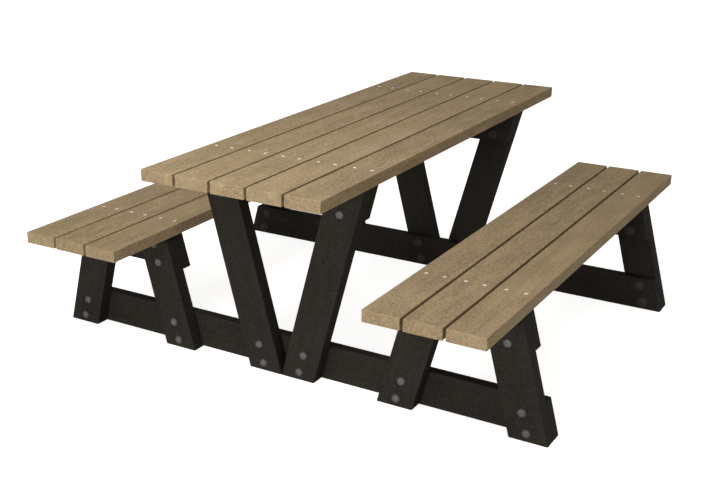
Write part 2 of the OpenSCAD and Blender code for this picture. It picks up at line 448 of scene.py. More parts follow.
    def _spangle(self) -> bpy.types.NodeTree:
        """The patchy crystals of a zinc coat, with fine scratches over them."""
        g, inp, out = new_tree(
            "Zinc spangle",
            "ShaderNodeTree",
            {"Place": "NodeSocketVector", "Scale": ("NodeSocketFloat", 260.0)},
            {"Tone": "NodeSocketFloat", "Height": "NodeSocketFloat"},
        )
        cells = g.node("ShaderNodeTexVoronoi", {"Vector": inp["Place"], "Scale": inp["Scale"]})
        grey = g.first("ShaderNodeSeparateColor", {"Color": cells.outputs["Color"]})
        cloud = g.noise(inp["Place"], self.ZINC_CLOUD)
        scratch = g.noise(g.vector("MULTIPLY", inp["Place"], self.SCRATCH_STRETCH), self.SCRATCHES)
        rest = g.calc("MULTIPLY", cloud, 1.0 - self.CELL_SHARE)
        g.feed(out["Tone"], g.calc("MULTIPLY_ADD", grey, self.CELL_SHARE, rest))
        g.feed(out["Height"], g.calc("MULTIPLY_ADD", scratch, 0.5, g.calc("MULTIPLY", cloud, 0.5)))
        return g.tree


# ---------------------------------------------------------------------- finishes

DUST_COLOUR: Colour = (0.16, 0.13, 0.10, 1.0)
# Near-black colour of the painted shade round the rim of a bolt head
RIM_SHADE_COLOUR: Colour = (0.035, 0.033, 0.031, 1.0)


def start_material(
    name: str, specular: float, metallic: float = 0.0
) -> tuple[Graph, bpy.types.Material, Any]:
    """Makes a material whose shader has its constants set.

    Args:
        name: The material's name.
        specular: The shader's specular level.
        metallic: The shader's metallic value.

    Returns:
        The graph, the material and the shader's inputs.
    """
    material = bpy.data.materials.new(name)
    g = node_graph(material)
    constants = {"Metallic": metallic, "Specular IOR Level": specular}
    shader = g.node("ShaderNodeBsdfPrincipled", constants)
    g.node("ShaderNodeOutputMaterial", {"Surface": shader.outputs[0]})
    return g, material, shader.inputs


@dataclass(frozen=True)
class LumberFinish:
    """Moulded plastic lumber, coloured through, with a printed-in grain.

    The shares say how much each part of the grain adds to the tone.
    """

    name: str
    pale: Colour
    deep: Colour
    fleck: Colour
    # The colour of the edges: partly real wear, partly a painted highlight on the rounded edges
    worn_and_highlit: Colour
    contrast: float
    specular: float
    roughness: float
    relief: float
    wear_and_highlight: float
    dust: float
    board_spread: float
    streak_share: float = 0.5
    blotch_share: float = 0.75
    line_share: float = 0.05
    speck_share: float = 2.05
    fleck_share: float = 0.5
    fleck_band: Band = (0.60, 0.72)
    rough_spread: float = 0.16
    wear_polish: float = 0.1
    depth: float = 0.8 * MM

    def build(self, effects: SharedEffects) -> bpy.types.Material:
        """Makes the material.

        Args:
            effects: The shared node groups.

        Returns:
            The material.
        """
        g, material, shader = start_material(self.name, self.specular)
        place, half = g.attribute(PLACE, "Vector"), g.attribute(HALF, "Vector")
        board = g.attribute(TONE, "Fac")
        grain = g.group(effects.grain, {"Place": place, "Board": board})
        wear_and_highlight = g.group(effects.wear_and_highlight, {"Place": place, "Half size": half})["Wear and highlight"]
        dust = g.group(effects.dust, {"Place": g.object_place()})["Dust"]
        tone = g.blend(
            (
                (grain["Streaks"], self.streak_share),
                (grain["Blotches"], self.blotch_share),
                (grain["Lines"], self.line_share),
                (grain["Specks"], self.speck_share),
                (board, self.board_spread),
            )
        )
        tone = g.calc("MULTIPLY_ADD", tone, self.contrast, 0.5, clamp=True)
        flecks = g.calc("MULTIPLY", g.ramp(grain["Specks"], self.fleck_band), self.fleck_share)
        colour = g.mix(flecks, g.mix(tone, self.deep, self.pale), self.fleck)
        # Lighter edges: partly real wear, partly a painted highlight along the rounded edges
        colour = g.mix(g.calc("MULTIPLY", wear_and_highlight, self.wear_and_highlight), colour, self.worn_and_highlit)
        colour = g.mix(g.calc("MULTIPLY", dust, self.dust), colour, DUST_COLOUR)
        g.feed(shader["Base Color"], colour)
        rough = g.around(grain["Blotches"], self.roughness, self.rough_spread)
        g.feed(shader["Roughness"], g.calc("MULTIPLY_ADD", wear_and_highlight, -self.wear_polish, rough))
        g.feed(shader["Normal"], g.bump(grain["Height"], self.depth, self.relief))
        return material


@dataclass(frozen=True)
class SteelFinish:
    """Zinc-coated steel, with painted shade darkening the rim of a head."""

    name: str
    pale: Colour
    deep: Colour
    metallic: float
    specular: float
    roughness: float
    spangle_scale: float
    rim_shade: float
    tone_band: Band = (0.25, 0.75)
    rim_band: Band = (0.62, 0.84)
    rough_spread: float = 0.2
    relief: float = 0.35
    depth: float = 0.2 * MM

    def build(self, effects: SharedEffects) -> bpy.types.Material:
        """Makes the material.

        Args:
            effects: The shared node groups.

        Returns:
            The material.
        """
        g, material, shader = start_material(self.name, self.specular, self.metallic)
        inputs = {"Place": g.object_place(), "Scale": self.spangle_scale}
        zinc = g.group(effects.spangle, inputs)
        tone = zinc["Tone"]
        colour = g.mix(g.ramp(tone, self.tone_band), self.deep, self.pale)
        # Painted shade: the outer rim of each head is darkened towards a near-black colour
        rim = g.ramp(g.attribute(RIM, "Fac"), self.rim_band)
        painted_rim_shade = g.calc("MULTIPLY", rim, self.rim_shade)
        g.feed(shader["Base Color"], g.mix(painted_rim_shade, colour, RIM_SHADE_COLOUR))
        g.feed(shader["Roughness"], g.around(tone, self.roughness, self.rough_spread))
        g.feed(shader["Normal"], g.bump(zinc["Height"], self.depth, self.relief))
        return material


@dataclass(frozen=True)
class CapFinish:
    """Matt moulded plastic of the nut caps."""

    name: str
    pale: Colour
    deep: Colour
    roughness: float
    specular: float = 0.3
    tone_band: Band = (0.3, 0.7)
    rough_spread: float = 0.2
    relief: float = 0.4
    depth: float = 0.2 * MM
    dust: float = 0.15
    cloud: Cloud = Cloud(90.0, 4.0, 0.6)
    pits: Cloud = Cloud(1400.0, 2.0, 0.6)

    def build(self, effects: SharedEffects) -> bpy.types.Material:
        """Makes the material.

        Args:
            effects: The shared node groups.

        Returns:
            The material.
        """
        g, material, shader = start_material(self.name, self.specular)
        place = g.object_place()
        cloud = g.noise(place, self.cloud)
        pits = g.noise(place, self.pits)
        dust = g.calc("MULTIPLY", g.group(effects.dust, {"Place": place})["Dust"], self.dust)
        colour = g.mix(g.ramp(cloud, self.tone_band), self.deep, self.pale)
        g.feed(shader["Base Color"], g.mix(dust, colour, DUST_COLOUR))
        g.feed(shader["Roughness"], g.around(cloud, self.roughness, self.rough_spread))
        g.feed(shader["Normal"], g.bump(pits, self.depth, self.relief))
        return material


class Finishes:
    """Every finish of the table, by material slot."""

    def __init__(self) -> None:
        """Builds the shared groups and then each material."""
        effects = SharedEffects()
        specs = {
            Slot.TAN: LumberFinish(
                "tan lumber",
                pale=(0.482, 0.359, 0.211, 1.0),
                deep=(0.198, 0.144, 0.079, 1.0),
                fleck=(0.44, 0.334, 0.203, 1.0),
                # Edge colour: partly real wear, partly a painted highlight on the rounded edges
                worn_and_highlit=(0.43, 0.324, 0.198, 1.0),
                contrast=0.95,
                specular=0.08,
                roughness=0.76,
                relief=0.35,
                wear_and_highlight=0.3,
                dust=0.0,
                board_spread=0.16,
            ),
            Slot.BLACK: LumberFinish(
                "black lumber",
                pale=(0.0388, 0.0332, 0.0268, 1.0),
                deep=(0.0182, 0.0156, 0.0126, 1.0),
                fleck=(0.036, 0.031, 0.025, 1.0),
                # Edge colour: partly real wear, partly a painted highlight on the rounded edges
                worn_and_highlit=(0.042, 0.037, 0.030, 1.0),
                contrast=1.0,
                specular=0.06,
                roughness=0.68,
                relief=0.4,
                wear_and_highlight=0.35,
                dust=0.05,
                board_spread=0.1,
            ),
            Slot.GALVANISED: SteelFinish(
                "galvanised steel",
                pale=(0.175, 0.170, 0.165, 1.0),
                deep=(0.105, 0.102, 0.098, 1.0),
                metallic=0.4,
                specular=0.5,
                roughness=0.62,
                spangle_scale=240.0,
                # How strongly painted shade darkens the rim of each bolt head
                rim_shade=0.75,
            ),
            Slot.SCREW: SteelFinish(
                "screw steel",
                pale=(0.97, 0.915, 0.835, 1.0),
                deep=(0.82, 0.765, 0.690, 1.0),
                metallic=0.0,
                specular=0.2,
                roughness=0.5,
                spangle_scale=420.0,
                rim_shade=0.0,
            ),
            Slot.CAP: CapFinish(
                "cap plastic",
                pale=(0.039, 0.035, 0.031, 1.0),
                deep=(0.027, 0.024, 0.021, 1.0),
                roughness=0.6,
            ),
        }
        self.materials = {slot: spec.build(effects) for slot, spec in specs.items()}

    def of(self, slot: Slot) -> bpy.types.Material:
        """The material of a slot."""
        return self.materials[slot]


# ------------------------------------------------------------------ geometry trees


@dataclass(frozen=True)
class Ring:
    """One ring of a turned shape: its radius or half width, its height and its corners."""

    radius: Term
    height: Term
    corners: int = 0


def turned(g: Graph, rings: Sequence[Ring], sides: int = SIDES) -> Socket:
    """Rolls a grid into a turned shape about Z.

    Args:
        g: The tree it is built in.
        rings: The profile, from one pole to the other.
        sides: Steps round the axis, a multiple of 12.

    Returns:
        The mesh's socket.
    """
    grid = g.node("GeometryNodeMeshGrid", {"Vertices X": len(rings), "Vertices Y": sides + 1})
    index = g.first("GeometryNodeInputIndex")
    column = float(sides + 1)
    ring = g.calc("FLOOR", g.calc("DIVIDE", g.calc("ADD", index, 0.5), column))
    step = g.calc("SUBTRACT", index, g.calc("MULTIPLY", ring, column))
    angle = g.calc("MULTIPLY", step, math.tau / sides)
    stretch: dict[int, Term] = {0: 1.0}
    for corners in sorted({r.corners for r in rings} - {0}):
        part = math.tau / corners
        off = g.calc("SUBTRACT", g.calc("FLOORED_MODULO", angle, part), part / 2)
        stretch[corners] = g.calc("DIVIDE", 1.0, g.calc("COSINE", off))
    plain = g.pick(ring, [r.radius for r in rings])
    radius = g.calc("MULTIPLY", plain, g.pick(ring, [stretch[r.corners] for r in rings]))
    spot = g.joined(
        X=g.calc("MULTIPLY", radius, g.calc("COSINE", angle)),
        Y=g.calc("MULTIPLY", radius, g.calc("SINE", angle)),
        Z=g.pick(ring, [r.height for r in rings]),
    )
    moved = g.first(
        "GeometryNodeSetPosition", {"Geometry": grid.outputs["Mesh"], "Position": spot}
    )
    return g.first("GeometryNodeMergeByDistance", {"Geometry": moved, "Distance": MERGE})


def dome(g: Graph, radius: Socket, low: Term, high: Term) -> list[Ring]:
    """The rings of a rounded top, from its pole to its rim.

    Args:
        g: The tree.
        radius: The rim's radius.
        low: The rim's height.
        high: The pole's height.

    Returns:
        The rings.
    """
    # The powers of the curve: a higher first one is flatter on top
    flatness, fullness = 2.3, 0.75
    rise = g.calc("SUBTRACT", high, low)
    rings = [Ring(0.0, high)]
    for k in range(1, DOME_STEPS + 1):
        share = math.sin(k / DOME_STEPS * math.pi / 2)
        level = (1.0 - share**flatness) ** fullness if k < DOME_STEPS else 0.0
        height = g.calc("MULTIPLY_ADD", rise, level, low)
        rings.append(Ring(g.calc("MULTIPLY", radius, share), height))
    return rings


def fastener_tree(name: str, sizes: Mapping[str, float]) -> tuple[Graph, Any, Any]:
    """Starts a tree that repeats a fastener.

    Args:
        name: The tree's name.
        sizes: Its named sizes, in metres.

    Returns:
        The graph, the group input's sockets and the group output's sockets.
    """
    inputs: dict[str, Any] = {"Places": "NodeSocketGeometry"}
    inputs |= {label: ("NodeSocketFloat", value) for label, value in sizes.items()}
    inputs |= {
        "Facing": "NodeSocketRotation",
        "Loose turn": ("NodeSocketFloat", 0.0),
        "Seed": ("NodeSocketInt", 0),
        "Finish": "NodeSocketMaterial",
    }
    return new_tree(name, "GeometryNodeTree", inputs, {"Geometry": "NodeSocketGeometry"})


def on_places(g: Graph, inp: Any, out: Any, shape: Socket) -> None:
    """Puts a shape on each place, realised and with its finish.

    Args:
        g: The tree.
        inp: The group input's sockets, as fastener_tree names them.
        out: The group output's sockets.
        shape: The mesh that is repeated.
    """
    spread = g.first(
        "GeometryNodeInstanceOnPoints",
        {"Points": inp["Places"], "Instance": shape, "Rotation": inp["Facing"]},
    )
    turn = g.first(
        "FunctionNodeRandomValue",
        {"Min": 0.0, "Max": inp["Loose turn"], "Seed": inp["Seed"]},
        data_type="FLOAT",
    )
    loose = g.first(
        "GeometryNodeRotateInstances",
        {"Instances": spread, "Rotation": g.joined(Z=turn), "Local Space": True},
    )
    g.give_out(out, loose, inp["Finish"])


@dataclass(frozen=True)
class CarriageBolt:
    """A carriage bolt: low dome, square neck and shank."""

    head_d: float = 32 * MM
    head_h: float = 6 * MM
    rim_h: float = 1.1 * MM
    rim_ease: float = 0.3 * MM
    shank_d: float = 12 * MM
    shank_step: float = 0.01 * MM
    neck_l: float = 8 * MM
    length: float = 97.5 * MM
    tip_ease: float = 1.0 * MM

    def tree(self) -> bpy.types.NodeTree:
        """Builds the tree that repeats the bolt, its head's seat at each place."""
        g, inp, out = fastener_tree(
            "Carriage bolts",
            {
                "Head width": self.head_d,
                "Head height": self.head_h,
                "Rim height": self.rim_h,
                "Shank width": self.shank_d,
                "Neck length": self.neck_l,
                "Length": self.length,
            },
        )
        head = g.calc("MULTIPLY", inp["Head width"], 0.5)
        shank = g.calc("MULTIPLY", inp["Shank width"], 0.5)
        thread = g.calc("SUBTRACT", shank, self.shank_step)
        neck = g.calc("MULTIPLY", inp["Neck length"], -1.0)
        end = g.calc("MULTIPLY", inp["Length"], -1.0)
        rings = dome(g, head, inp["Rim height"], inp["Head height"])
        rings += [
            Ring(head, self.rim_ease),
            Ring(g.calc("SUBTRACT", head, self.rim_ease), 0.0),
            Ring(shank, 0.0, 4),
            Ring(shank, neck, 4),
            Ring(thread, neck),
            Ring(thread, g.calc("ADD", end, self.tip_ease)),
            Ring(g.calc("SUBTRACT", shank, self.tip_ease), end),
            Ring(0.0, end),
        ]
        on_places(g, inp, out, self._mark_rim(g, turned(g, rings), head))
        return g.tree

    @staticmethod
    def _mark_rim(g: Graph, shape: Socket, head: Socket) -> Socket:
        """Stores how far out on the head each point lies, as a share of its radius.

        Args:
            g: The tree.
            shape: The bolt.
            head: The head's radius.

        Returns:
            The bolt with the shares on it.
        """
        spot = g.parts(g.first("GeometryNodeInputPosition"))
        flat = g.joined(X=spot[0], Y=spot[1])
        reach = g.node("ShaderNodeVectorMath", {"Vector": flat}, operation="LENGTH")
        return g.store(shape, RIM, g.calc("DIVIDE", reach.outputs["Value"], head))


@dataclass(frozen=True)
class NutCap:
    """A press-in cap: shallow dome with a soft rim, over a hollow plug."""

    cap_d: float = 42 * MM
    cap_h: float = 8.5 * MM
    rim_h: float = 2.6 * MM
    rim_ease: float = 0.4 * MM
    plug_d: float = 30.6 * MM
    plug_l: float = 4 * MM
    wall: float = 2 * MM
    hollow_drop: float = 2.6 * MM
    hollow_ease: float = 0.8 * MM
    hollow_share: float = 0.6

    def tree(self) -> bpy.types.NodeTree:
        """Builds the tree that repeats the cap, its brim on each place."""
        g, inp, out = fastener_tree(
            "Nut caps",
            {
                "Cap width": self.cap_d,
                "Cap height": self.cap_h,
                "Rim height": self.rim_h,
                "Plug width": self.plug_d,
                "Plug length": self.plug_l,
                "Wall": self.wall,
            },
        )
        cap = g.calc("MULTIPLY", inp["Cap width"], 0.5)
        plug = g.calc("MULTIPLY", inp["Plug width"], 0.5)
        bore = g.calc("SUBTRACT", plug, inp["Wall"])
        foot = g.calc("MULTIPLY", inp["Plug length"], -1.0)
        inside = g.calc("SUBTRACT", inp["Cap height"], inp["Wall"])
        shoulder = g.calc("MULTIPLY", bore, self.hollow_share)
        rings = dome(g, cap, inp["Rim height"], inp["Cap height"])
        rings += [
            Ring(cap, self.rim_ease),
            Ring(g.calc("SUBTRACT", cap, self.rim_ease), 0.0),
            Ring(plug, 0.0),
            Ring(plug, foot),
            Ring(bore, foot),
            Ring(bore, g.calc("SUBTRACT", inside, self.hollow_drop)),
            Ring(shoulder, g.calc("SUBTRACT", inside, self.hollow_ease)),
            Ring(0.0, inside),
        ]
        on_places(g, inp, out, turned(g, rings))
        return g.tree


@dataclass(frozen=True)
class DeckScrew:
    """A countersunk screw with a hexagonal socket."""

    head_d: float = 13 * MM
    head_ease: float = 0.5 * MM
    edge_drop: float = 0.35 * MM
    under_ease: float = 0.4 * MM
    under_drop: float = 0.8 * MM
    shank_d: float = 5 * MM
    length: float = 59.6 * MM
    tip_l: float = 5.0 * MM
    tip_r: float = 0.4 * MM
    socket_w: float = 4 * MM
    socket_l: float = 2 * MM
    socket_drop: float = 0.3 * MM
    sink: float = 0.4 * MM

    def tree(self) -> bpy.types.NodeTree:
        """Builds the tree that repeats the screw, its head just under each place."""
        g, inp, out = fastener_tree(
            "Deck screws",
            {
                "Head width": self.head_d,
                "Shank width": self.shank_d,
                "Length": self.length,
                "Socket width": self.socket_w,
                "Socket depth": self.socket_l,
                "Sink": self.sink,
            },
        )
        top = g.calc("MULTIPLY", inp["Sink"], -1.0)
        head = g.calc("MULTIPLY", inp["Head width"], 0.5)
        shank = g.calc("MULTIPLY", inp["Shank width"], 0.5)
        socket = g.calc("MULTIPLY", inp["Socket width"], 0.5)
        floor = g.calc("SUBTRACT", top, inp["Socket depth"])
        cone = g.calc("SUBTRACT", top, g.calc("SUBTRACT", head, shank))
        end = g.calc("SUBTRACT", top, g.calc("SUBTRACT", inp["Length"], inp["Sink"]))
        under = g.calc("SUBTRACT", head, self.under_ease)
        rings = [
            Ring(0.0, floor),
            Ring(socket, floor, 6),
            Ring(socket, g.calc("SUBTRACT", top, self.socket_drop), 6),
            Ring(g.calc("ADD", socket, self.head_ease), top),
            Ring(g.calc("SUBTRACT", head, self.head_ease), top),
            Ring(head, g.calc("SUBTRACT", top, self.edge_drop)),
            Ring(under, g.calc("SUBTRACT", top, self.under_drop)),
            Ring(shank, cone),
            Ring(shank, g.calc("ADD", end, self.tip_l)),
            Ring(self.tip_r, end),
            Ring(0.0, end),
        ]
        on_places(g, inp, out, turned(g, rings))
        return g.tree


@dataclass(frozen=True)
class PlankShape:
    """A plank along Y: rounded long edges, eased ends and seats for its screws."""

    length: float = 1875 * MM
    width: float = 125 * MM
    thickness: float = 40 * MM
    edge_r: float = 2 * MM
    edge_steps: int = 4
    end_ease: float = 1.4 * MM
    seat_r: float = 6.8 * MM
    seat_l: float = 0.7 * MM
    bore_r: float = 2.8 * MM
    bore_l: float = 200 * MM
    overcut: float = 10 * MM

    def tree(self) -> bpy.types.NodeTree:
        """Builds the tree that makes one plank at its centre."""
        g, inp, out = new_tree(
            "Plank",
            "GeometryNodeTree",
            {
                "Screw places": "NodeSocketGeometry",
                "Centre": "NodeSocketVector",
                "Length": ("NodeSocketFloat", self.length),
                "Width": ("NodeSocketFloat", self.width),
                "Thickness": ("NodeSocketFloat", self.thickness),
                "Edge radius": ("NodeSocketFloat", self.edge_r),
                "Seed": ("NodeSocketInt", 0),
                "Finish": "NodeSocketMaterial",
            },
            {"Geometry": "NodeSocketGeometry"},
        )
        outline = g.first(
            "GeometryNodeCurvePrimitiveQuadrilateral",
            {"Width": inp["Width"], "Height": inp["Thickness"]},
        )
        rounded = g.first(
            "GeometryNodeFilletCurve",
            {"Curve": outline, "Count": self.edge_steps, "Radius": inp["Edge radius"]},
            mode="POLY",
        )
        half_l = g.calc("MULTIPLY", inp["Length"], 0.5)
        spine = g.first(
            "GeometryNodeCurvePrimitiveLine",
            {"Start": g.joined(Y=g.calc("MULTIPLY", half_l, -1.0)), "End": g.joined(Y=half_l)},
        )
        body = g.first(
            "GeometryNodeCurveToMesh",
            {"Curve": spine, "Profile Curve": rounded, "Fill Caps": True},
        )
        carved = g.first(
            "GeometryNodeMeshBoolean",
            {"Mesh 1": body, "Mesh 2": self._seats(g, inp)},
            operation="DIFFERENCE",
            solver="EXACT",
        )
        marked = self._marked(g, inp, carved)
        placed = g.first("GeometryNodeSetPosition", {"Geometry": marked, "Offset": inp["Centre"]})
        g.give_out(out, placed, inp["Finish"])
        return g.tree

    def _seats(self, g: Graph, inp: Any) -> Socket:
        """Makes the cutters of the screw seats, about the plank's centre.

        Args:
            g: The tree.
            inp: The group input's sockets.

        Returns:
            The cutters.
        """
        rings = [
            Ring(0.0, self.overcut),
            Ring(self.seat_r, self.overcut),
            Ring(self.seat_r, -self.seat_l),
            Ring(self.bore_r, -self.seat_l - (self.seat_r - self.bore_r)),
            Ring(self.bore_r, -self.bore_l),
            Ring(0.0, -self.bore_l),
        ]
        spots = g.first(
            "GeometryNodeSetPosition",
            {"Geometry": inp["Screw places"], "Offset": g.scaled(inp["Centre"], -1.0)},
        )
        spread = g.first(
            "GeometryNodeInstanceOnPoints", {"Points": spots, "Instance": turned(g, rings)}
        )
        return g.first("GeometryNodeRealizeInstances", {"Geometry": spread})

    @staticmethod
    def _marked(g: Graph, inp: Any, mesh: Socket) -> Socket:
        """Stores each point's place in the plank, the plank's half size and its tone.

        Args:
            g: The tree.
            inp: The group input's sockets.
            mesh: The plank, about its centre.

        Returns:
            The plank with the three values on it.
        """
        at = g.first("GeometryNodeInputPosition")
        half = g.scaled(g.joined(X=inp["Width"], Y=inp["Length"], Z=inp["Thickness"]), 0.5)
        # One ID for every point, so that a plank has one tone all over
        same = g.first("FunctionNodeInputInt", integer=0)
        chance = {"ID": same, "Seed": inp["Seed"]}
        tone = g.first("FunctionNodeRandomValue", chance, data_type="FLOAT")
        stored = g.store(mesh, PLACE, at, "FLOAT_VECTOR")
        stored = g.store(stored, HALF, half, "FLOAT_VECTOR")
        return g.store(stored, TONE, tone)


# ------------------------------------------------------------------ mesh helpers


def open_mesh(mesh: bpy.types.Mesh, merge: float = 0.0) -> bmesh.types.BMesh:
    """Opens a mesh for editing.

    Args:
        mesh: The mesh.
        merge: How near two vertices are merged, or 0 to merge none.

    Returns:
        The editable mesh.
    """
    bm = bmesh.new()
    bm.from_mesh(mesh)
    if merge:
        bmesh.ops.remove_doubles(bm, verts=bm.verts, dist=merge)
    return bm


def close_mesh(bm: bmesh.types.BMesh, mesh: bpy.types.Mesh) -> None:
    """Writes the edits to a mesh."""
    bm.to_mesh(mesh)
    bm.free()


def add_object(name: str, data: bpy.types.ID) -> bpy.types.Object:
    """Adds an object to the scene.

    Args:
        name: The object's name.
        data: Its mesh, light or camera.

    Returns:
        The object.
    """
    made = bpy.data.objects.new(name, data)
    bpy.context.scene.collection.objects.link(made)
    return made


def dress(mesh: bpy.types.Mesh, material: bpy.types.Material) -> None:
    """Gives a mesh one material, in place of any other."""
    mesh.materials.clear()
    mesh.materials.append(material)


def islands(node: str) -> list[Vector]:
    """The middle of the box of each separate solid of a CAD node.

    Args:
        node: The CAD node's name.

    Returns:
        One point for each solid, in a fixed order.
    """
    bm = open_mesh(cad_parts[node].data, CAD_MERGE)
    middles: list[Vector] = []
    seen: set[bmesh.types.BMVert] = set()
    for first in bm.verts:
        if first in seen:
            continue
        seen.add(first)
        queue, found = [first], []
        while queue:
            vert = queue.pop()
            found.append(vert.co.copy())
            for edge in vert.link_edges:
                other = edge.other_vert(vert)
                if other not in seen:
                    seen.add(other)
                    queue.append(other)
        low = Vector(min(p[k] for p in found) for k in range(3))
        high = Vector(max(p[k] for p in found) for k in range(3))
        middles.append((low + high) / 2)
    bm.free()
    return sorted(middles, key=lambda p: (round(p.x, 4), round(p.y, 4), round(p.z, 4)))


def run_tree(
    name: str, tree: bpy.types.NodeTree, points: Iterable[Vector], values: Mapping[str, Any]
) -> bpy.types.Object:
    """Runs a geometry tree and keeps its result as a plain mesh.

    Args:
        name: The new object's name.
        tree: The geometry tree.
        points: The vertices that it starts from.
        values: Its inputs, by name.

    Returns:
        An object with the tree's mesh and no modifier.
    """
    places = bpy.data.meshes.new(name + "_places")
    places.from_pydata([tuple(p) for p in points], [], [])
    maker = add_object(name + "_places", places)
    modifier = maker.modifiers.new("maker", "NODES")
    modifier.node_group = tree
    for item in tree.interface.items_tree:
        if item.item_type == "SOCKET" and item.in_out == "INPUT" and item.name in values:
            modifier[item.identifier] = values[item.name]
    graph = bpy.context.evaluated_depsgraph_get()
    mesh = bpy.data.meshes.new_from_object(
        maker.evaluated_get(graph), preserve_all_data_layers=True, depsgraph=graph
    )
    mesh.name = name
    dress(mesh, values["Finish"])
    mesh.polygons.foreach_set("material_index", [0] * len(mesh.polygons))
    maker.modifiers.remove(modifier)
    bpy.data.objects.remove(maker)
    return add_object(name, mesh)


def cut_across(mesh: bpy.types.Mesh, along: Vector, step: float) -> None:
    """Cuts a board's long faces into short ones, so that no face is a sliver.

    Args:
        mesh: The board.
        along: The board's direction.
        step: The longest part between two cuts.
    """
    bm = open_mesh(mesh)
    reach = [v.co.dot(along) for v in bm.verts]
    low, high = min(reach), max(reach)
    parts = math.ceil((high - low) / step)
    for k in range(1, parts):
        bmesh.ops.bisect_plane(
            bm,
            geom=bm.verts[:] + bm.edges[:] + bm.faces[:],
            dist=CAD_MERGE,
            plane_co=along * (low + (high - low) * k / parts),
            plane_no=along,
        )
    close_mesh(bm, mesh)


def ease_ends(mesh: bpy.types.Mesh, along: Vector, ease: float) -> None:
    """Takes the sharp corner off a board's sawn ends.

    Args:
        mesh: The board, with flat ends.
        along: The board's direction, or another that its ends are square to.
        ease: How far the corner is cut back.
    """
    end_facing, side_facing, near_end = 0.9, 0.35, 1 * MM
    bm = open_mesh(mesh, MERGE)
    bmesh.ops.recalc_face_normals(bm, faces=bm.faces)
    reach = [v.co.dot(along) for v in bm.verts]
    low, high = min(reach), max(reach)
    ends = []
    for edge in bm.edges:
        if len(edge.link_faces) != 2:
            continue
        across = [abs(f.normal.dot(along)) for f in edge.link_faces]
        place = edge.verts[0].co.dot(along)
        at_end = min(place - low, high - place) < near_end
        if at_end and max(across) > end_facing and min(across) < side_facing and edge.is_convex:
            ends.append(edge)
    bmesh.ops.bevel(
        bm,
        geom=ends,
        offset=ease,
        offset_type="OFFSET",
        segments=2,
        profile=0.5,
        affect="EDGES",
        clamp_overlap=True,
        material=-1,
    )
    close_mesh(bm, mesh)


def face_outwards(mesh: bpy.types.Mesh, smooth_degrees: float) -> None:
    """Merges doubles, turns the faces outwards, and smooths all but large faces and sharp edges.

    Args:
        mesh: The mesh to mend.
        smooth_degrees: Edges that turn less than this are smooth.
    """
    bm = open_mesh(mesh, MERGE)
    bmesh.ops.recalc_face_normals(bm, faces=bm.faces)
    close_mesh(bm, mesh)
    mesh.shade_smooth()
    mesh.set_sharp_from_angle(angle=math.radians(smooth_degrees))
    for face in mesh.polygons:
        face.use_smooth = face.area < FLAT_AREA


def hand_over(piece: bpy.types.Object, slot: Slot, *nodes: str) -> None:
    """Puts a finished piece on the body in place of its CAD nodes, and logs it.

    Args:
        piece: The piece.
        slot: Its material slot; not used.
        nodes: The CAD nodes that it stands for.
    """
    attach(piece, "root")
    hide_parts(*nodes)
    LOG.info("%s: %d faces", piece.name, len(piece.data.polygons))


# ------------------------------------------------------------------ sub-assemblies


@dataclass
class PlankRow:
    """A row of planks with its screws: the table top or one seat."""

    planks: Sequence[str]
    screws: str
    label: str
    seed: int
    shape: PlankShape = field(default_factory=PlankShape)

    def build(
        self, finishes: Finishes, plank_tree: bpy.types.NodeTree, screw_tree: bpy.types.NodeTree
    ) -> None:
        """Makes each plank and then the row's screws.

        Args:
            finishes: The table's finishes.
            plank_tree: The tree that makes a plank.
            screw_tree: The tree that repeats the screw.
        """
        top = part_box(self.planks[0])[1].z
        places = [Vector((p.x, p.y, top)) for p in islands(self.screws)]
        for number, node in enumerate(self.planks, 1):
            low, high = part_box(node)
            size = high - low
            piece = run_tree(
                f"{self.label}_board_{number}",
                plank_tree,
                [p for p in places if low.x < p.x < high.x],
                {
                    "Centre": tuple((low + high) / 2),
                    "Length": size.y,
                    "Width": size.x,
                    "Thickness": size.z,
                    "Seed": self.seed + number,
                    "Finish": finishes.of(Slot.TAN),
                },
            )
            cut_across(piece.data, ALONG_Y, SLICE)
            ease_ends(piece.data, ALONG_Y, self.shape.end_ease)
            face_outwards(piece.data, BOARD_SMOOTH)
            hand_over(piece, Slot.TAN, node)
        piece = run_tree(
            f"{self.label}_deck_screws",
            screw_tree,
            places,
            {
                "Facing": Axis.UP.value,
                "Loose turn": math.tau,
                "Seed": self.seed,
                "Finish": finishes.of(Slot.SCREW),
            },
        )
        face_outwards(piece.data, SCREW_SMOOTH)
        hand_over(piece, Slot.SCREW, self.screws)


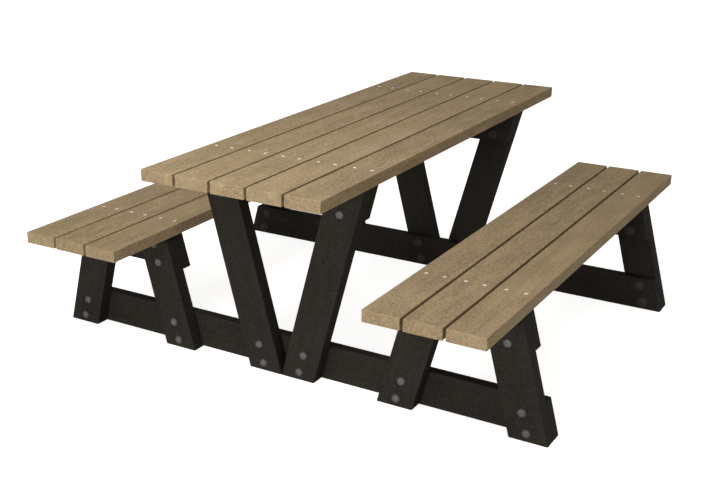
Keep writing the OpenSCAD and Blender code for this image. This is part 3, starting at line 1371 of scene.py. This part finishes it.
@dataclass
class FrameBoard:
    """A board of an end frame, from the CAD node's own shape with eased ends."""

    node: str
    seed: int
    end_ease: float = 1.2 * MM
    flat_degrees: float = 0.4
    tone_step: float = 0.618034

    def build(self, finishes: Finishes) -> None:
        """Makes the board with its places stored on its points.

        Args:
            finishes: The table's finishes.
        """
        mesh = bpy.data.meshes.new(self.node + "_board")
        bm = open_mesh(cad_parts[self.node].data, CAD_MERGE)
        bmesh.ops.dissolve_limit(
            bm,
            angle_limit=math.radians(self.flat_degrees),
            use_dissolve_boundaries=False,
            verts=bm.verts,
            edges=bm.edges,
        )
        along = self._direction(bm)
        close_mesh(bm, mesh)
        cut_across(mesh, along, SLICE)
        # The legs are cut level at both ends, and the rails and cleats upright
        ease_ends(mesh, ALONG_Z if self.node.endswith("leg") else ALONG_X, self.end_ease)
        dress(mesh, finishes.of(Slot.BLACK))
        self._store_places(mesh, along)
        face_outwards(mesh, BOARD_SMOOTH)
        hand_over(add_object(self.node + "_board", mesh), Slot.BLACK, self.node)

    @staticmethod
    def _direction(bm: bmesh.types.BMesh) -> Vector:
        """The direction of the board's longest edge."""
        longest = max(bm.edges, key=lambda e: e.calc_length())
        return (longest.verts[1].co - longest.verts[0].co).normalized()

    def _store_places(self, mesh: bpy.types.Mesh, along: Vector) -> None:
        """Stores each point's place in the board, the board's half size and its tone.

        Args:
            mesh: The board.
            along: The board's direction.
        """
        axes = (along.cross(ALONG_Y).normalized(), along, ALONG_Y)
        local = [[v.co.dot(a) for a in axes] for v in mesh.vertices]
        low = [min(p[k] for p in local) for k in range(3)]
        high = [max(p[k] for p in local) for k in range(3)]
        middle = [(a + b) / 2 for a, b in zip(low, high)]
        half = [(b - a) / 2 for a, b in zip(low, high)]
        place = mesh.attributes.new(PLACE, "FLOAT_VECTOR", "POINT")
        place.data.foreach_set("vector", [p[k] - middle[k] for p in local for k in range(3)])
        size = mesh.attributes.new(HALF, "FLOAT_VECTOR", "POINT")
        size.data.foreach_set("vector", half * len(local))
        tone = mesh.attributes.new(TONE, "FLOAT", "POINT")
        tone.data.foreach_set("value", [(self.seed * self.tone_step) % 1.0] * len(local))


@dataclass
class EndFrame:
    """One end frame: its boards, and its bolts with their caps."""

    end: str
    facing: Axis
    cap_facing: Axis
    seed: int

    def boards(self) -> list[str]:
        """The names of the frame's board nodes."""
        sides = ("left", "right")
        names = [f"{self.end}_base_rail", f"{self.end}_table_cleat"]
        names += [f"{self.end}_{s}_seat_cleat" for s in sides]
        names += [f"{self.end}_{s}_table_leg" for s in sides]
        return names + [f"{self.end}_{s}_{k}_seat_leg" for s in sides for k in ("outer", "inner")]

    def build(
        self, finishes: Finishes, bolt_tree: bpy.types.NodeTree, cap_tree: bpy.types.NodeTree
    ) -> None:
        """Makes the boards, the bolts and the caps, and finishes the nuts and washers.

        Args:
            finishes: The table's finishes.
            bolt_tree: The tree that repeats the bolt.
            cap_tree: The tree that repeats the cap.
        """
        for number, node in enumerate(self.boards()):
            FrameBoard(node, self.seed + number).build(finishes)
        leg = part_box(f"{self.end}_left_table_leg")
        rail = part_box(f"{self.end}_base_rail")
        is_front = self.facing is Axis.FRONT
        face = leg[0].y if is_front else leg[1].y
        back = rail[1].y if is_front else rail[0].y
        galvanised, cap = finishes.of(Slot.GALVANISED), finishes.of(Slot.CAP)
        piece = self._row("carriage_bolts", bolt_tree, face, self.facing, galvanised)
        hand_over(piece, Slot.GALVANISED, f"{self.end}_bolts")
        piece = self._row("press_caps", cap_tree, back, self.cap_facing, cap)
        hand_over(piece, Slot.CAP, f"{self.end}_nut_caps")
        for kind in ("nuts", "washers"):
            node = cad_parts[f"{self.end}_{kind}"]
            dress(node.data, galvanised)
            LOG.info("%s: CAD shape, new finish", node.name)

    def _row(
        self,
        label: str,
        tree: bpy.types.NodeTree,
        level: float,
        facing: Axis,
        finish: bpy.types.Material,
    ) -> bpy.types.Object:
        """Repeats a fastener at each of the frame's bolts.

        Args:
            label: The piece's name after the end's.
            tree: The tree that repeats it.
            level: The Y of the face that it sits on.
            facing: The way it looks.
            finish: Its material.

        Returns:
            The piece.
        """
        piece = run_tree(
            f"{self.end}_{label}",
            tree,
            [Vector((p.x, level, p.z)) for p in islands(f"{self.end}_bolts")],
            {"Facing": facing.value, "Seed": self.seed, "Finish": finish},
        )
        face_outwards(piece.data, BOLT_SMOOTH)
        return piece


# ------------------------------------------------------------------------ studio


@dataclass(frozen=True)
class SoftLight:
    """A square area light: where it stands, what it looks at, its side and its watts."""

    name: str
    place: Triple
    target: Triple
    size: float
    power: float

    def build(self) -> None:
        """Adds the light."""
        data = bpy.data.lights.new(self.name, "AREA")
        data.size = self.size
        data.energy = self.power
        lamp = add_object(self.name, data)
        lamp.location = self.place
        aim = Vector(self.target) - Vector(self.place)
        lamp.rotation_euler = aim.to_track_quat("-Z", "Y").to_euler()


def lit_and_seen(g: Graph, lit: bpy.types.Node, seen: bpy.types.Node) -> Socket:
    """Mixes a shader that lights the table with one that the camera sees.

    Args:
        g: The graph.
        lit: The node whose shader lights the table.
        seen: The node whose shader the camera sees.

    Returns:
        The mixed shader.
    """
    camera_ray = g.node("ShaderNodeLightPath").outputs["Is Camera Ray"]
    blend = g.node("ShaderNodeMixShader", {"Fac": camera_ray})
    g.fill(blend.inputs[1:], (lit.outputs[0], seen.outputs[0]))
    return blend.outputs[0]


@dataclass
class Studio:
    """A pale floor, soft lights and the camera."""

    camera_place: Triple = (1.9277, -3.5429, 1.7147)
    camera_tilt: float = 70.07
    camera_turn: float = 31.08
    lens: float = 56.31
    sensor: float = 36.0
    shift: float = 0.0409
    view_end: float = 200.0
    floor_half: float = 30.0
    floor_colour: Colour = (0.84, 0.84, 0.83, 1.0)
    floor_roughness: float = 0.5
    floor_lift: float = 0.8
    floor_bounce: Colour = (0.78, 0.78, 0.77, 1.0)
    white: Colour = (1.0, 1.0, 1.0, 1.0)
    sky: Colour = (1.0, 0.99, 0.97, 1.0)
    sky_strength: float = 0.39
    backdrop_strength: float = 0.97
    lights: tuple[SoftLight, ...] = (
        SoftLight("key light", (0.1, -1.8, 3.0), (0.0, -0.6, 0.6), 1.5, 50.0),
        SoftLight("front light", (0.4, -12.0, 1.1), (0.0, 0.0, 0.4), 4.0, 670.0),
        SoftLight("right light", (10.0, -2.6, 2.3), (0.0, 0.0, 0.4), 4.0, 40.0),
    )

    def build(self) -> None:
        """Makes the floor, the world, the lights and the camera."""
        self._floor()
        self._world()
        for light in self.lights:
            light.build()
        camera = add_object("camera", bpy.data.cameras.new("camera"))
        camera.location = self.camera_place
        tilt, turn = math.radians(self.camera_tilt), math.radians(self.camera_turn)
        camera.rotation_euler = Euler((tilt, 0.0, turn))
        camera.data.lens = self.lens
        camera.data.sensor_width = self.sensor
        camera.data.shift_x = self.shift
        camera.data.clip_end = self.view_end
        scene = bpy.context.scene
        scene.camera = camera
        scene.view_settings.view_transform = "Standard"

    def _floor(self) -> None:
        """A wide flat floor with a plain pale finish."""
        mesh = bpy.data.meshes.new("floor")
        h = self.floor_half
        mesh.from_pydata([(-h, -h, 0), (h, -h, 0), (h, h, 0), (-h, h, 0)], [], [(0, 1, 2, 3)])
        floor = add_object("floor", mesh)
        material = bpy.data.materials.new("pale floor")
        g = node_graph(material)
        plain = {"Color": self.floor_colour, "Roughness": self.floor_roughness}
        lift = {"Color": self.white, "Strength": self.floor_lift}
        seen = g.node("ShaderNodeAddShader")
        diffuse = g.first("ShaderNodeBsdfDiffuse", plain)
        g.fill(seen.inputs, (diffuse, g.first("ShaderNodeEmission", lift)))
        lit = g.node("ShaderNodeBsdfDiffuse", {"Color": self.floor_bounce})
        g.node("ShaderNodeOutputMaterial", {"Surface": lit_and_seen(g, lit, seen)})
        mesh.materials.append(material)

    def _world(self) -> None:
        """A plain world that lights evenly from all round."""
        world = bpy.data.worlds.new("studio")
        g = node_graph(world)
        lit = {"Color": self.sky, "Strength": self.sky_strength}
        seen = {"Color": self.white, "Strength": self.backdrop_strength}
        both = [g.node("ShaderNodeBackground", look) for look in (lit, seen)]
        g.node("ShaderNodeOutputWorld", {"Surface": lit_and_seen(g, *both)})
        bpy.context.scene.world = world


def main() -> None:
    """Builds the table in order, then the studio."""
    finishes = Finishes()
    plank_tree = PlankShape().tree()
    screw_tree = DeckScrew().tree()
    bolt_tree = CarriageBolt().tree()
    cap_tree = NutCap().tree()
    rows = (
        ("table", "table_top", 5, 10),
        ("left_seat", "left_seat", 3, 40),
        ("right_seat", "right_seat", 3, 70),
    )
    for node, label, count, seed in rows:
        planks = [f"{node}_plank_{i}" for i in range(1, count + 1)]
        PlankRow(planks, f"{node}_screws", label, seed).build(finishes, plank_tree, screw_tree)
    EndFrame("front", Axis.FRONT, Axis.REAR, 100).build(finishes, bolt_tree, cap_tree)
    EndFrame("rear", Axis.REAR, Axis.FRONT, 130).build(finishes, bolt_tree, cap_tree)
    Studio().build()


if __name__ == "__main__":
    logging.basicConfig(level=logging.INFO, format="%(name)s: %(message)s")
    main()
